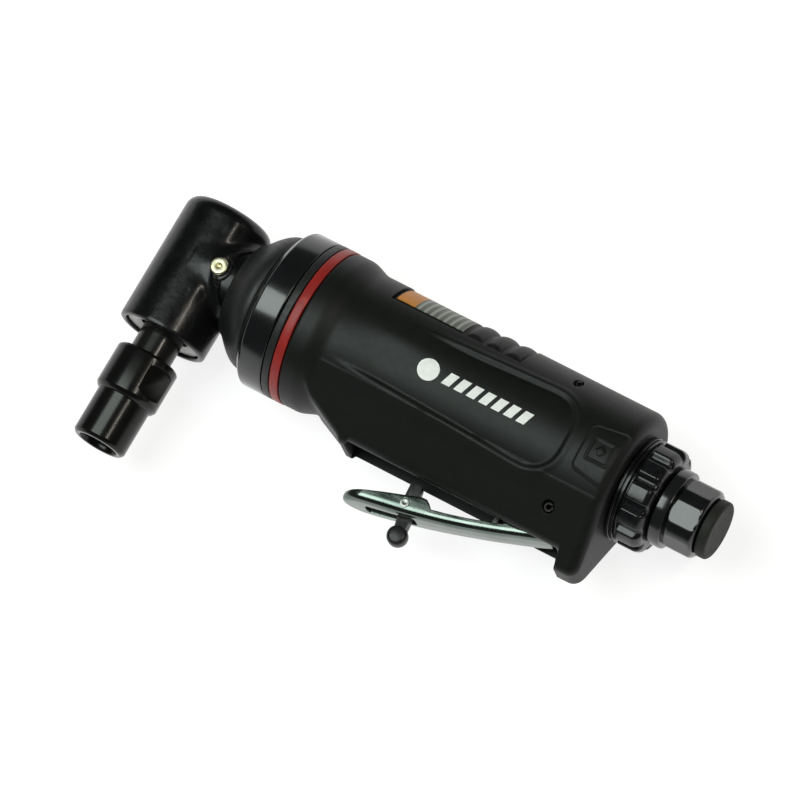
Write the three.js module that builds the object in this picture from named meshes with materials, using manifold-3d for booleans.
// A 90 degree pneumatic die grinder with a composite grip, as a three.js scene graph.
//
// Millimetres, +Z up. The tool lies on its side: +X is the air motor's axis, from the angle head
// to the air inlet, and the collet and the throttle lever point along -Y. Pieces are drawn with
// the spindle's axis at X = 0 and the motor's axis at Y = Z = 0, and the whole group is then
// moved so that its origin is the bottom centre of its box.

import * as THREE from 'three';
import { mergeVertices } from 'three/addons/utils/BufferGeometryUtils.js';
import { ConvexGeometry } from 'three/addons/geometries/ConvexGeometry.js';
import Module from 'manifold-3d';

const wasm = await Module();
wasm.setup();

// ---------------------------------------------------------------- driving dimensions

const gap = 0.3;                 // between pieces that touch, and around moving pieces
const fine = 32;                 // sides of a large round piece
const coarse = 14;               // sides of a small round piece

const head = { radius: 12.75, top: 15.9, bottom: -21.8, cavity: 10.3, seat: 10.9 };
const gears = { teeth: 15, pinionTeeth: 12, radius: 8.5, face: 0.31, addendum: 0.95 };
const neck = { guardFront: 13.1, guardBack: 22.7, bore: 9.2 };
const ring = { radius: 22.5, front: 23.0, shoulder: 25.0, back: 32.0, thread: 17.0 };
const spacer = { front: 32.3, back: 34.4 };
const accent = { front: 34.7, back: 37.3 };
const housing = { radius: 18.2, bore: 16.5, front: 26.3, blockFront: 94, back: 130.6 };
const grip = {
  front: 37.6, flareEnd: 41.5, barrelStart: 47.5, back: 133.4, flareRadius: 22.4, radius: 20.6,
  bore: 18.5, keel: -25.0, keelStart: 59.2, lip: -26.2, lug: -29.8, lugFront: 126.8,
  lugCorner: 4.2, keelBack: 132.6, sideAngle: 34.6,
};
const channel = { front: 60.7, back: 125.4, halfWidth: 6.2, throatFront: 97 };
const inlay = {
  front: 54.6, back: 94.6, halfWidth: 15.2, floor: 19.3, base: 20.0, ribs: 3, ribHalf: 1.6,
  labelEnd: 76.4, labelHalfWidth: 13.9, labelInner: 20.25, labelOuter: 20.45,
};
const rotorSize = { radius: 9.5, journal: 4.0, front: 40.6, back: 85.7, vaneRoot: 3.6 };
const liner = { front: 40.3, back: 86.0, outer: 16.2, bore: 11.5, offset: 1.7 };
const ballBearing = { inner: 4.3, outer: 8.0, length: 3.7 };
const spindleSize = { neck: 6.0, seat: 4.4, stub: 3.4, top: 12.3, threadEnd: -38.6 };
const nut = {
  top: -28.3, step: -41.3, tip: -55.4, radius: 9.0, nose: 7.65, bore: 6.35, flat: 8.0, flatTurn: 55,
};
const colletSize = { top: -25.5, tip: -53.4, radius: 4.9, bore: 3.2 };
const lever = {
  pivotX: 119.8, pivotY: -17.4, pinRadius: 1.4, pinHalf: 12.3, sheet: 1.1, rearX: 122.5,
  rearY: -23.8, tipX: 66.8, tipY: -38.7, bow: 1.7, flange: 3.0,
};
const lock = {
  x: 83.4, y: -32.6, pinRadius: 0.8, knob: 2.9, knobX: 84.6, knobY: -40.4, footTop: -25.6,
  slotFront: 73.2, slotBack: 87.2, slotHalf: 2.5,
};
const housingPin = { x: 110.2, y: 15.4, radius: 1.0, half: 13.0 };
const valve = { x: 106, bore: 4.8, seat: -9.2, stem: 1.5, stemEnd: -27.8 };
const inlet = {
  port: 9.0, portFront: 118, shank: 8.7, bore: 5.2, collar: 11, collarFront: 144,
  collarBack: 147.6, hexFlats: 18.5, hexTurn: 15, corner: 9.75, end: 156.4,
};
const deflector = { front: 133.8, back: 143.6, radius: 14.8, lobes: 12 };
const plug = { radius: 8.25, front: 156.8, back: 159.8, shank: 4.9 };

// ---------------------------------------------------------------- materials

function finish(colour, roughness, metalness) {
  return new THREE.MeshStandardMaterial({ color: colour, roughness, metalness });
}

const glossBlack = finish(0x0b0b0c, 0.25, 0.4);
const mattBlack = finish(0x141514, 0.6, 0.1);
const gripBlack = finish(0x1b1d1b, 0.55, 0.0);
const red = finish(0x96201f, 0.35, 0.0);
const blackOxide = finish(0x161616, 0.4, 0.6);
const steel = finish(0x8b8d8c, 0.35, 1.0);
const polished = finish(0xa9adab, 0.15, 1.0);
const bronze = finish(0xa67c45, 0.4, 1.0);
const brightBrass = finish(0xcfc9a4, 0.3, 1.0);
const aluminium = finish(0xaeb1b3, 0.4, 1.0);
const resin = finish(0x6a4a2c, 0.6, 0.0);
const sealBlack = finish(0x101010, 0.8, 0.0);
const felt = finish(0x70706a, 0.95, 0.0);
const olivePlastic = finish(0x2b2e26, 0.6, 0.0);
const orange = finish(0xe08428, 0.5, 0.0);

// ---------------------------------------------------------------- shapes

// A lathe solid about Y, from [height, radius] points. An outline that doesn't start and end
// on the axis is closed on itself, which makes a ring.
function turnedY(outline, sides = coarse) {
  const points = outline.map(([height, radius]) => new THREE.Vector2(radius, height));
  const onAxis = points[0].x === 0 && points[points.length - 1].x === 0;
  if (!onAxis) {
    points.push(points[0].clone());
  }
  return new THREE.LatheGeometry(points, sides);
}

// The same about X.
function turnedX(outline, sides = coarse) {
  return turnedY(outline, sides).rotateZ(-Math.PI / 2);
}

function ringOutline(start, end, inner, outer) {
  return [[start, inner], [start, outer], [end, outer], [end, inner]];
}

function rodOutline(start, end, radius) {
  return [[start, 0], [start, radius], [end, radius], [end, 0]];
}

// A straight rod along Z.
function rodZ(x, y, start, end, radius, sides = coarse) {
  return turnedY(rodOutline(start, end, radius), sides).rotateX(Math.PI / 2).translate(x, y, 0);
}

function block(x0, x1, y0, y1, z0, z1) {
  const box = new THREE.BoxGeometry(x1 - x0, y1 - y0, z1 - z0);
  return box.translate((x0 + x1) / 2, (y0 + y1) / 2, (z0 + z1) / 2);
}

function shapeFrom(points) {
  return new THREE.Shape(points.map(([a, b]) => new THREE.Vector2(a, b)));
}

function extruded(shape, depth) {
  return new THREE.ExtrudeGeometry(shape, { depth, bevelEnabled: false, curveSegments: 8 });
}

// A prism along Z, from an outline in X and Y.
function prismZ(shape, start, end) {
  return extruded(shape, end - start).translate(0, 0, start);
}

// A prism along X, from an outline in Z and Y that is symmetric in Z.
function prismX(shape, start, end) {
  return extruded(shape, end - start).rotateY(Math.PI / 2).translate(start, 0, 0);
}

// A regular polygon's outline, by the distance across its flats.
function polygonOutline(sides, acrossFlats) {
  const corner = acrossFlats / 2 / Math.cos(Math.PI / sides);
  return Array.from({ length: sides }, (unused, k) => {
    const angle = (2 * k + 1) * Math.PI / sides;
    return [corner * Math.cos(angle), corner * Math.sin(angle)];
  });
}

// Points of an arc, both ends included.
function arcPoints(centreX, centreY, radius, from, to, steps) {
  return Array.from({ length: steps + 1 }, (unused, k) => {
    const angle = THREE.MathUtils.degToRad(from + (to - from) * k / steps);
    return [centreX + radius * Math.cos(angle), centreY + radius * Math.sin(angle)];
  });
}

// A round wire that follows a helix about the line through (x, y) along Z.
class Helix extends THREE.Curve {
  constructor(radius, turns, start, end) {
    super();
    Object.assign(this, { radius, turns, start, end });
  }

  getPoint(t, target = new THREE.Vector3()) {
    const angle = 2 * Math.PI * this.turns * t;
    const along = this.start + (this.end - this.start) * t;
    return target.set(this.radius * Math.cos(angle), this.radius * Math.sin(angle), along);
  }
}

function coilSpring(radius, wire, turns, start, end) {
  const section = shapeFrom(arcPoints(0, 0, wire, 0, 288, 4));
  return new THREE.ExtrudeGeometry(section, {
    steps: turns * 8,
    extrudePath: new Helix(radius, turns, start, end),
    bevelEnabled: false,
  });
}

// ---------------------------------------------------------------- cutting and joining

function signedVolume(positions, triangles) {
  const [a, b, c] = [new THREE.Vector3(), new THREE.Vector3(), new THREE.Vector3()];
  let volume = 0;
  for (let i = 0; i < triangles.length; i += 3) {
    a.fromArray(positions, 3 * triangles[i]);
    b.fromArray(positions, 3 * triangles[i + 1]);
    c.fromArray(positions, 3 * triangles[i + 2]);
    volume += a.dot(b.cross(c)) / 6;
  }
  return volume;
}

// A closed three.js geometry as a solid, with its faces pointing out.
function solid(shape) {
  if (shape instanceof wasm.Manifold) {
    return shape;
  }
  const bare = shape.clone();
  bare.deleteAttribute('normal');
  bare.deleteAttribute('uv');
  const merged = mergeVertices(bare, 1e-4);
  const positions = merged.attributes.position.array;
  const triangles = [];
  for (let i = 0; i < merged.index.count; i += 3) {
    const corners = [0, 1, 2].map((k) => merged.index.getX(i + k));
    if (new Set(corners).size === 3) {
      triangles.push(...corners);
    }
  }
  if (signedVolume(positions, triangles) < 0) {
    triangles.reverse();
  }
  const triVerts = Uint32Array.from(triangles);
  return new wasm.Manifold(new wasm.Mesh({ numProp: 3, vertProperties: positions, triVerts }));
}

function join(first, ...others) {
  return others.reduce((whole, next) => whole.add(solid(next)), solid(first));
}

function cut(first, ...tools) {
  return tools.reduce((whole, tool) => whole.subtract(solid(tool)), solid(first));
}

function common(first, second) {
  return solid(first).intersect(solid(second));
}

// Copies of a shape, turned about X by equal steps.
function aroundX(count, make, phase = 0) {
  return Array.from({ length: count }, (unused, k) => (
    make(k).rotateX((k + phase) * 2 * Math.PI / count)
  ));
}

function aroundY(count, make, phase = 0) {
  return Array.from({ length: count }, (unused, k) => (
    make(k).rotateY((k + phase) * 2 * Math.PI / count)
  ));
}

const tool = new THREE.Group();

function addPiece(name, shape, material) {
  const mesh = solid(shape).getMesh();
  const geometry = new THREE.BufferGeometry();
  geometry.setAttribute('position', new THREE.BufferAttribute(mesh.vertProperties, 3));
  geometry.setIndex(new THREE.BufferAttribute(mesh.triVerts, 1));
  geometry.computeVertexNormals();
  const piece = new THREE.Mesh(geometry, material);
  piece.name = name;
  tool.add(piece);
}

// ---------------------------------------------------------------- ball bearings

// Outer ring, inner ring, and the balls joined by their cage, about X or about Y.
function addBearing(name, turned, around, size) {
  const { start, end, inner, outer, balls } = size;
  const middle = (start + end) / 2;
  const wall = (outer - inner) * 0.3;
  const pitch = (inner + outer) / 2;
  const ball = (outer - inner) / 2 - wall - gap;
  const cage = ball * 0.5;
  const alongY = turned === turnedY;
  const makeBall = () => {
    const sphere = new THREE.OctahedronGeometry(ball, 1);
    return alongY ? sphere.translate(pitch, middle, 0) : sphere.translate(middle, pitch, 0);
  };
  const cageRing = turned(ringOutline(middle - cage, middle + cage, pitch - cage, pitch + cage));
  addPiece(`${name}_outer_race`, turned(ringOutline(start, end, outer - wall, outer)), steel);
  addPiece(`${name}_inner_race`, turned(ringOutline(start, end, inner, inner + wall)), steel);
  addPiece(`${name}_balls`, join(cageRing, ...around(balls, makeBall)), polished);
}

// ---------------------------------------------------------------- bevel gears

// One straight bevel tooth on the +X side of a gear about Y whose cone's tip is at the origin
// and opens towards -Y. It is wedge-shaped, and it shrinks towards the tip.
function bevelTooth(radius, mateRadius, toothCount) {
  const cone = Math.hypot(radius, mateRadius);
  const along = new THREE.Vector2(radius, -mateRadius).divideScalar(cone);
  const outward = new THREE.Vector2(mateRadius, radius).divideScalar(cone);
  const pitchHalf = Math.PI * radius / toothCount / 2 - 0.14;
  const slope = Math.tan(THREE.MathUtils.degToRad(20));
  const levels = [gears.addendum, -gears.addendum - 0.7];
  const points = [];
  for (const scale of [1, 1 - gears.face]) {
    for (const level of levels) {
      const half = (pitchHalf - level * slope) * scale;
      const x = (along.x * cone + outward.x * level) * scale;
      const y = (along.y * cone + outward.y * level) * scale;
      points.push(new THREE.Vector3(x, y, half), new THREE.Vector3(x, y, -half));
    }
  }
  return new ConvexGeometry(points);
}

// The gear's body under the teeth, as [height, radius] points about Y.
function bevelBody(radius, mateRadius, bore, hubEnd) {
  const depth = gears.addendum + 0.38;
  const cone = Math.hypot(radius, mateRadius);
  const rootRadius = radius - depth * mateRadius / cone;
  const rootHeight = -mateRadius - depth * radius / cone;
  const small = 1 - gears.face;
  return [
    [rootHeight * small, bore],
    [rootHeight * small, rootRadius * small],
    [rootHeight, rootRadius],
    [rootHeight - 0.9, rootRadius],
    [hubEnd, rootRadius * 0.72],
    [hubEnd, bore],
  ];
}

function addGears() {
  const { teeth, pinionTeeth, radius } = gears;
  const pinionRadius = radius * pinionTeeth / teeth;
  const gearBody = turnedY(bevelBody(radius, pinionRadius, spindleSize.seat + gap, -10.6));
  const gearTeeth = aroundY(teeth, () => bevelTooth(radius, pinionRadius, teeth), 0.5);
  addPiece('driven_bevel_gear', join(gearBody, ...gearTeeth), steel);

  const pinionBody = turnedY(bevelBody(pinionRadius, radius, 0, -12.1));
  const shank = turnedY([[-11, 0], [-11, 3.9], [-20.5, 3.9], [-20.5, 0]]);
  const squareDrive = prismX(shapeFrom(polygonOutline(4, 4.4)), 20, 31).rotateZ(-Math.PI / 2);
  const pinionTeethShapes = aroundY(
    pinionTeeth, () => bevelTooth(pinionRadius, radius, pinionTeeth),
  );
  const pinion = [pinionBody, shank, squareDrive, ...pinionTeethShapes];
  addPiece('drive_pinion', join(...pinion.map((shape) => shape.rotateZ(Math.PI / 2))), steel);
}

// ---------------------------------------------------------------- angle head

function angleHead() {
  const { radius, top, bottom, cavity, seat } = head;
  const corner = 3;
  const topEdge = arcPoints(radius - corner, top - corner, corner, 0, 90, 4);
  const upright = turnedY([
    [bottom, 0], [bottom, radius - 0.8], [bottom + 0.8, radius],
    ...topEdge.map(([r, y]) => [y, r]), [top, 0],
  ], fine);
  const neckBody = turnedX([
    [2, 0], [2, 9], [8, 11.1], [13, 11.6], [21, 15.2], [24.3, 15.2], [24.3, 16.6],
    [26.0, 16.6], [26.0, 0],
  ], fine);
  const greaseBoss = rodZ(7.8, 0, 6, 11.6, 3.7);
  const gearRoom = turnedY(rodOutline(bottom + 11.1, 8.0, cavity), fine);
  const bearingRoom = turnedY(rodOutline(bottom - 1, bottom + 11.2, seat), fine);
  const bushRoom = turnedY(rodOutline(7.5, top - 2.4, 5.4));
  const pinionRoom = turnedX(rodOutline(0, 30, neck.bore), fine);
  const greaseHole = rodZ(7.8, 0, 4, 14, 2.3, 16);
  return cut(
    join(upright, neckBody, greaseBoss),
    gearRoom, bearingRoom, bushRoom, pinionRoom, greaseHole,
  );
}

function addHead() {
  addPiece('angle_head', angleHead(), glossBlack);
  addPiece('upper_spindle_bush', turnedY(ringOutline(8.3, 12.3, 3.65, 5.1)), bronze);
  addBearing('spindle_bearing', turnedY, aroundY, {
    start: -17.9, end: -11.1, inner: 4.8, outer: 10.6, balls: 7,
  });
  const retainer = turnedY([
    [-18.2, 7.0], [-18.2, 10.6], [-21.0, 10.6], [-21.0, 8.2], [-20.2, 7.0],
  ], fine);
  const spannerSlots = [-1, 1].map((side) => block(-1.1, 1.1, -23, -19.9, side * 8, side * 12));
  addPiece('bearing_retainer', cut(retainer, ...spannerSlots), steel);

  const fitting = turnedY([
    [8.2, 0], [8.2, 2.0], [11.9, 2.0], [11.9, 2.5], [12.7, 2.5], [13.2, 2.0], [13.2, 1.0],
    [12.4, 0.6], [12.4, 0],
  ], 24).rotateX(Math.PI / 2).translate(7.8, 0, 0);
  addPiece('grease_fitting', fitting, brightBrass);

  addBearing('pinion_bearing', turnedX, aroundX, {
    start: 12.5, end: 18.3, inner: 4.2, outer: 8.9, balls: 7,
  });
  addPiece('pinion_bearing_circlip', turnedX(ringOutline(18.7, 19.9, 6.4, 8.9)), steel);

  const { guardFront, guardBack } = neck;
  const guard = turnedX([
    [guardFront, 12.1], [guardFront, 12.8], [guardFront + 0.8, 13.7], [16.5, 15.6], [19.5, 17.8],
    [guardBack, 19.5], [guardBack, 15.9], [21.5, 15.9],
  ], fine);
  addPiece('neck_guard', guard, mattBlack);
}

function addSpindle() {
  const { neck: neckRadius, seat, stub, top, threadEnd } = spindleSize;
  const spindle = turnedY([
    [top, 0], [top, stub - 0.5], [top - 0.5, stub], [-3.4, stub], [-3.4, seat],
    [-18.1, seat], [-18.1, neckRadius], [threadEnd, neckRadius], [threadEnd, 5.2],
    [-26, 3.9], [-24, 3.9], [-24, 0],
  ]);
  addPiece('spindle', spindle, blackOxide);
  addGears();

  const { top: colletTop, tip, radius, bore } = colletSize;
  const collet = turnedY([
    [colletTop, bore], [colletTop, 3.55], [threadEnd, radius - 0.2], [-40, radius],
    [tip + 3, radius], [tip, radius - 1.2], [tip, bore],
  ]);
  const slits = [0, 1].map((k) => block(-6, 6, tip - 1, -31, -0.4, 0.4).rotateY(k * Math.PI / 2));
  addPiece('collet', cut(collet, ...slits), steel);
}

function colletNut() {
  const { top, step, tip, radius, nose, bore, flat, flatTurn } = nut;
  const body = turnedY([
    [top, bore], [top, radius - 0.6], [top - 0.6, radius], [step + 0.6, radius],
    [step, radius - 0.8], [step - 0.4, nose], [tip + 0.9, nose], [tip, nose - 0.9],
    [tip, 5.6], [tip + 1.2, 5.3], [step - 1.4, 5.3], [step + 1.6, bore],
  ], fine);
  const flats = [-1, 1].map((side) => (
    block(-8, 8, step + 2.2, top - 2.4, side * flat, side * 12)
      .rotateY(THREE.MathUtils.degToRad(flatTurn))
  ));
  return cut(body, ...flats);
}

// ---------------------------------------------------------------- coupling rings

function addCoupling() {
  const { radius, front, shoulder, back, thread } = ring;
  addPiece('clamp_ring', turnedX([
    [front, 15.6], [front, 20.0], [shoulder, radius], [back - 0.4, radius],
    [back, radius - 0.4], [back, thread + gap], [24.0, thread + gap], [24.0, 15.6],
  ], fine), glossBlack);
  const ringBore = housing.radius + gap;
  const spacerShape = turnedX(ringOutline(spacer.front, spacer.back, ringBore, radius), fine);
  addPiece('spacer_ring', spacerShape, mattBlack);
  const accentShape = turnedX(ringOutline(accent.front, accent.back, ringBore, radius), fine);
  addPiece('accent_ring', accentShape, red);
}

// ---------------------------------------------------------------- air motor

function motorHousing() {
  const { radius, bore, front, blockFront, back } = housing;
  const body = turnedX([
    [front, 0], [front, ring.thread], [spacer.front, ring.thread], [spacer.front, radius],
    [back, radius], [back, 0],
  ], fine);
  const underside = block(channel.throatFront, back + 1, -25, -14.4, -20, 20);
  const valveBoss = turnedY(rodOutline(-19.4, -12, 5.8)).translate(valve.x, 0, 0);
  return cut(
    join(cut(body, underside), valveBoss),
    turnedX(rodOutline(front - 1, blockFront, bore), fine),
    turnedX(rodOutline(inlet.portFront, back + 1, inlet.port)),
    turnedX(rodOutline(valve.x, inlet.portFront + 1, 4.5)),
    turnedY(rodOutline(-21, 7, valve.bore)).translate(valve.x, 0, 0),
    turnedX(rodOutline(blockFront - 1, valve.x, 2.4)),
    turnedX(rodOutline(blockFront - 1, back + 1, 2.6), 16).translate(0, 10.5, 8.5),
    turnedX(rodOutline(blockFront - 1, back + 1, 2.6), 16).translate(0, 10.5, -8.5),
    rodZ(housingPin.x, housingPin.y, -20, 20, housingPin.radius + gap, 16),
  );
}

function rotorShape() {
  const { radius, journal, front, back, vaneRoot } = rotorSize;
  const body = turnedX([
    [27, 0], [27, journal], [front, journal], [front, radius], [back, radius],
    [back, journal], [92.8, journal], [92.8, 0],
  ]);
  const slots = aroundX(4, () => block(front - 0.1, back + 0.1, vaneRoot, 12, -0.95, 0.95));
  const socket = prismX(shapeFrom(polygonOutline(4, 5.0)), 26, 33);
  return cut(body, socket, ...slots);
}

function addMotor() {
  addPiece('motor_housing', motorHousing(), aluminium);
  const { front, back, outer, bore, offset } = liner;
  const linerBore = turnedX(rodOutline(front - 1, back + 1, bore), fine).translate(0, offset, 0);
  const pinHole = turnedX(rodOutline(34, 47, 1.2), 12).translate(0, -13.4, 0);
  addPiece('cylinder_liner', cut(
    turnedX(rodOutline(front, back, outer), fine), linerBore, pinHole,
  ), steel);
  addPiece('liner_pin', turnedX(rodOutline(36, 46.7, 0.95), 12).translate(0, -13.4, 0), steel);

  const { radius, journal, vaneRoot } = rotorSize;
  addPiece('rotor', rotorShape(), steel);
  for (let k = 0; k < 4; k += 1) {
    const vane = block(front + 0.6, back - 0.6, vaneRoot + gap, radius - 0.15, -0.65, 0.65);
    addPiece(`rotor_vane_${k + 1}`, vane.rotateX(k * Math.PI / 2), resin);
  }

  const plateBore = journal + 0.4;
  const pocket = ballBearing.outer + 0.25;
  addPiece('front_end_plate', cut(turnedX([
    [34.2, pocket], [34.2, outer], [40.0, outer], [40.0, plateBore], [38.2, plateBore],
    [38.2, pocket],
  ]), turnedX(rodOutline(35.5, 47, 1.2), 12).translate(0, -13.4, 0)), aluminium);
  addPiece('rear_end_plate', turnedX([
    [86.3, plateBore], [86.3, outer], [92.4, outer], [92.4, pocket], [88.2, pocket],
    [88.2, plateBore],
  ]), aluminium);
  const { inner, outer: race, length } = ballBearing;
  addBearing('rotor_front_bearing', turnedX, aroundX, {
    start: 37.9 - length, end: 37.9, inner, outer: race, balls: 7,
  });
  addBearing('rotor_rear_bearing', turnedX, aroundX, {
    start: 88.5, end: 88.5 + length, inner, outer: race, balls: 7,
  });
  addPiece('preload_washer', turnedX(ringOutline(92.7, 93.6, 9.5, 15.8)), steel);
}

// ---------------------------------------------------------------- grip

// The barrel and the flare at its front, turned about X.
function gripBarrel() {
  const { front, flareEnd, barrelStart, back, flareRadius, radius } = grip;
  const flare = [0, 0.25, 0.5, 0.75, 1].map((t) => {
    const drop = (1 - Math.cos(Math.PI * t)) / 2;
    return [flareEnd + (barrelStart - flareEnd) * t, flareRadius + (radius - flareRadius) * drop];
  });
  const rearEdge = arcPoints(back - 3, radius - 3, 3, 90, 0, 4);
  return turnedX([[front, 0], [front, flareRadius], ...flare, ...rearEdge, [back, 0]], fine);
}

// The keel under the barrel, which holds the lever's channel: its section's sides are tangent
// to the barrel, and its side view gives its sloping front, its lower edge and the rear lug.
function gripKeel() {
  const { radius, keel, keelStart, lip, lug, lugFront, lugCorner, keelBack, sideAngle } = grip;
  const angle = THREE.MathUtils.degToRad(sideAngle);
  const tangent = [radius * Math.cos(angle), -radius * Math.sin(angle)];
  const footHalf = tangent[0] - (tangent[1] - lug) * Math.tan(angle);
  const side = [[tangent[0], 4], tangent, [footHalf + 0.5, lug + 0.8], [footHalf - 0.5, lug]];
  const mirrored = side.map(([z, y]) => [-z, y]).reverse();
  const section = prismX(shapeFrom([...side, ...mirrored]), 44, keelBack);
  const corner = arcPoints(keelBack - lugCorner, lug + lugCorner, lugCorner, 270, 360, 4);
  const outline = prismZ(shapeFrom([
    [44, 4], [44, -17.5], [47, -20.0], [keelStart - 1.6, keel - 0.4], [keelStart, lip],
    [channel.front, lip], [channel.front + 0.6, keel], [lugFront - 0.4, keel], [lugFront, lug],
    ...corner, [keelBack, 4],
  ]), -25, 25);
  return common(section, outline);
}

// The shallow bed for the inlay, wrapped over the top of the barrel.
function inlayBed(clearance, floor) {
  const { front, back, halfWidth } = inlay;
  return cut(
    block(front - clearance, back + clearance, 8, 24, -halfWidth - clearance,
      halfWidth + clearance),
    turnedX(rodOutline(front - 9, back + 9, floor), fine),
  );
}

function gripSleeve() {
  const { front, back, bore } = grip;
  const { halfWidth, throatFront } = channel;
  const outside = join(gripBarrel(), gripKeel());
  const leverRoom = block(channel.front, channel.back, -40, -18, -halfWidth, halfWidth);
  const roof = turnedX(rodOutline(channel.front - 1, throatFront, grip.radius), fine);
  return cut(
    outside,
    turnedX(rodOutline(front - 1, back - 2.5, bore), fine),
    turnedX(rodOutline(back - 3, back + 1, 12.2), fine),
    cut(leverRoom, roof),
    block(throatFront, channel.back, -40, -10, -halfWidth, halfWidth),
    block(lock.x - 7, lock.x + 4, -24, -17, -2.6, 2.6),
    rodZ(lever.pivotX, lever.pivotY, -25, 25, lever.pinRadius + gap, 16),
    rodZ(housingPin.x, housingPin.y, -25, 25, housingPin.radius + gap, 16),
    inlayBed(0, inlay.floor),
  );
}

// The inlay: a plain bed for the label, then ribs for the thumb.
function thumbPad() {
  const { front, back, floor, base, ribs, ribHalf, labelEnd } = inlay;
  const pitch = (back - labelEnd) / ribs;
  const skin = turnedX(rodOutline(front, back, grip.radius - 0.15), fine);
  const bed = turnedX(rodOutline(front, back, base), fine);
  const ridges = Array.from({ length: ribs }, (unused, k) => {
    const middle = labelEnd + (k + 0.5) * pitch;
    return block(middle - ribHalf, middle + ribHalf, 8, 24, -20, 20);
  });
  return common(common(inlayBed(-gap, floor + gap), skin), join(bed, ...ridges));
}

function labelPlate() {
  const { front, labelEnd, labelHalfWidth, labelInner, labelOuter } = inlay;
  const sheet = ringOutline(front + 1.2, labelEnd - 0.6, labelInner, labelOuter);
  const window = block(front, labelEnd, 8, 24, -labelHalfWidth, labelHalfWidth);
  return common(turnedX(sheet, fine), window);
}

function addGrip() {
  addPiece('grip_sleeve', gripSleeve(), gripBlack);
  addPiece('thumb_pad', thumbPad(), sealBlack);
  addPiece('label_plate', labelPlate(), orange);
  const { x, y, radius, half } = housingPin;
  addPiece('housing_pin', rodZ(x, y, -half, half, radius, 16), blackOxide);
}

// ---------------------------------------------------------------- throttle lever and its lock

// The height of the lever's outer face at a place along it: a straight line with a gentle bow.
function leverFace(x) {
  const { rearX, rearY, tipX, tipY, bow } = lever;
  const t = (rearX - x) / (rearX - tipX);
  return rearY + (tipY - rearY) * t - bow * Math.sin(Math.PI * t);
}

function leverFaceCurve(from, to, offset) {
  return Array.from({ length: 8 }, (unused, k) => {
    const x = from + (to - from) * k / 7;
    return [x, leverFace(x) + offset];
  });
}

// The lever seen from below: a broad rounded tip that narrows towards the pivot.
function leverPlan(inset) {
  const { tipX } = lever;
  const broad = 6.5 - inset;
  const half = [
    ...arcPoints(tipX - 0.8 + 6.5, 0, broad, 180, 90, 5), [77, broad], [84, 5.8 - inset],
    [100, 4.9 - inset], [126, 4.7 - inset],
  ];
  const mirrored = half.map(([x, z]) => [x, -z]).reverse();
  return extruded(shapeFrom([...half, ...mirrored.slice(0, -1)]), 40)
    .rotateX(Math.PI / 2).translate(0, -5, 0);
}

function throttleLever() {
  const { pivotX, pivotY, pinRadius, sheet, rearX, tipX, flange } = lever;
  const side = [
    ...leverFaceCurve(rearX, tipX + 0.6, 0), [tipX - 0.6, -37.9], [tipX - 0.6, -37.0],
    [tipX + 1.6, -35.9], [83.1, -30.5], [87.6, -29.0], [89.2, -29.6], [90.6, -31.2],
    ...leverFaceCurve(92, 111, flange), [pivotX - 2.4, pivotY + 1.4], [pivotX - 1, pivotY + 1.9],
    [pivotX + 1, pivotY + 1.9], [pivotX + 2.4, pivotY + 1.2],
  ];
  const hollow = prismZ(shapeFrom([
    ...leverFaceCurve(rearX + 4, tipX + 2, sheet), [tipX + 1, -20], [pivotX, -8], [rearX + 4, -8],
  ]), -10, 10);
  return cut(
    common(prismZ(shapeFrom(side), -10, 10), leverPlan(0)),
    common(hollow, leverPlan(sheet)),
    rodZ(pivotX, pivotY, -10, 10, pinRadius + gap, 16),
    block(lock.slotFront, lock.slotBack, -45, -30, -lock.slotHalf, lock.slotHalf),
    rodZ(lock.x, lock.y, -10, 10, lock.pinRadius + 0.2, 12),
  );
}

function lockCatch() {
  const { x, y, pinRadius, knob, knobX, knobY, footTop } = lock;
  const plate = prismZ(shapeFrom([
    [x - 2.6, footTop], [x + 0.6, footTop], [x + 2.1, y], [knobX + 1.2, knobY + 1],
    [knobX - 1.4, knobY + 1], [x - 2.1, y],
  ]), -1.8, 1.8);
  const disc = rodZ(knobX, knobY, -2.1, 2.1, knob, 20);
  return cut(join(plate, disc), rodZ(x, y, -5, 5, pinRadius + 0.25, 12));
}

function addLever() {
  const { pivotX, pivotY, pinRadius, pinHalf } = lever;
  addPiece('throttle_lever', throttleLever(), polished);
  addPiece('lever_pin', rodZ(pivotX, pivotY, -pinHalf, pinHalf, pinRadius, 16), blackOxide);
  addPiece('lock_catch', lockCatch(), sealBlack);
  addPiece('lock_pin', rodZ(lock.x, lock.y, -5.8, 5.8, lock.pinRadius, 12), steel);
  addPiece('lock_spring', coilSpring(1.15, 0.2, 3, 2.2, 4.3).translate(lock.x, lock.y, 0), steel);
}

// ---------------------------------------------------------------- throttle valve

function addValve() {
  const { x, bore, seat, stem, stemEnd } = valve;
  const bushing = turnedY(ringOutline(-19.8, seat, stem + 0.3, bore - gap));
  addPiece('valve_bushing', bushing.translate(x, 0, 0), bronze);
  const poppet = turnedY([
    [stemEnd, 0], [stemEnd + 0.3, 0.9], [stemEnd + 0.9, stem], [-8.9, stem], [-7.4, stem],
    [-7.4, 3.7], [-6.0, 3.7], [-6.0, 1.5], [-4.0, 1.5], [-4.0, 0],
  ]);
  addPiece('valve_stem', poppet.translate(x, 0, 0), steel);
  addPiece('valve_seal', turnedY(ringOutline(-8.8, -7.7, 1.8, 3.7)).translate(x, 0, 0), sealBlack);
  const spring = coilSpring(2.7, 0.45, 5, -5.2, 6.1).rotateX(-Math.PI / 2);
  addPiece('valve_spring', spring.translate(x, 0, 0), steel);
}

// ---------------------------------------------------------------- air inlet and exhaust

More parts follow.
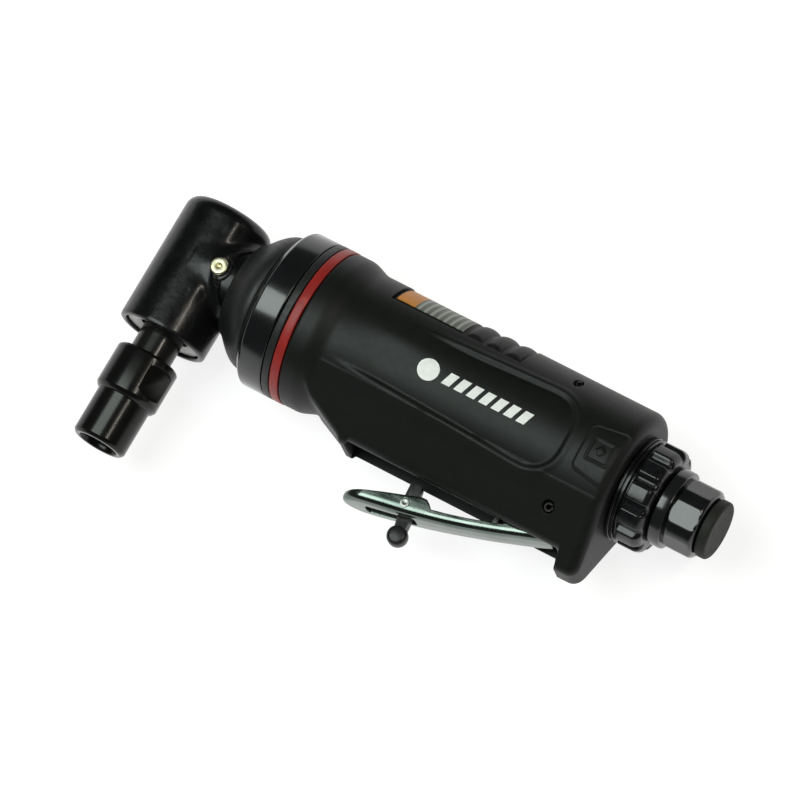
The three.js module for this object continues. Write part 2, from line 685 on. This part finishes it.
function inletBushing() {
  const { shank, bore, collar, collarFront, collarBack, hexFlats, hexTurn, corner, end } = inlet;
  const body = turnedX([
    [120.2, bore], [120.2, shank], [collarFront, shank], [collarFront, collar],
    [collarBack - 0.4, collar], [collarBack, collar - 0.6], [collarBack, corner], [end - 0.4, corner],
    [end, corner - 0.4], [end, plug.shank + gap], [146, plug.shank + gap], [146, bore],
  ], fine);
  const wrenchFlats = prismX(shapeFrom(polygonOutline(6, hexFlats)), collarBack, end + 1)
    .rotateX(THREE.MathUtils.degToRad(hexTurn));
  const front = turnedX(rodOutline(119, collarBack, 13), fine);
  return common(body, join(front, wrenchFlats));
}

function exhaustDeflector() {
  const { front, back, radius, lobes } = deflector;
  const notches = aroundX(lobes, () => (
    turnedX(rodOutline(front + 1.6, back + 1, 1.7), 10).translate(0, radius + 0.6, 0)
  ));
  const ringShape = turnedX([
    [front, 12.0], [front, radius], [back - 0.8, radius], [back, radius - 0.8],
    [back, shankClear()], [back - 1.4, shankClear()], [back - 1.4, 12.0],
  ], fine);
  return cut(ringShape, ...notches);
}

function shankClear() {
  return inlet.shank + gap;
}

function addInlet() {
  addPiece('inlet_o_ring', turnedX(ringOutline(118.3, 119.9, 5.6, 8.6)), sealBlack);
  addPiece('inlet_bushing', inletBushing(), glossBlack);
  const screen = turnedX([
    [121, 0], [121, 4.4], [132, 4.9], [132, 4.2], [121.8, 3.7], [121.8, 0],
  ], 20);
  addPiece('inlet_screen', screen, steel);
  const silencer = turnedX(ringOutline(134.2, 141.6, shankClear(), 11.7));
  addPiece('exhaust_silencer', silencer, felt);
  addPiece('exhaust_deflector', exhaustDeflector(), glossBlack);
  const { radius, front, back, shank } = plug;
  addPiece('inlet_plug', turnedX([
    [147.5, 0], [147.5, shank - 0.5], [148.5, shank], [front, shank], [front, radius],
    [back - 0.5, radius], [back, radius - 0.5], [back, 0],
  ], fine), olivePlastic);
}

// ---------------------------------------------------------------- the whole tool

addHead();
addSpindle();
addPiece('collet_nut', colletNut(), blackOxide);
addCoupling();
addMotor();
addGrip();
addLever();
addValve();
addInlet();

const dieGrinder = new THREE.Group();
dieGrinder.add(tool);
const extent = new THREE.Box3().setFromObject(tool);
const centre = extent.getCenter(new THREE.Vector3());
tool.position.set(-centre.x, -centre.y, -extent.min.z);

export default dieGrinder;
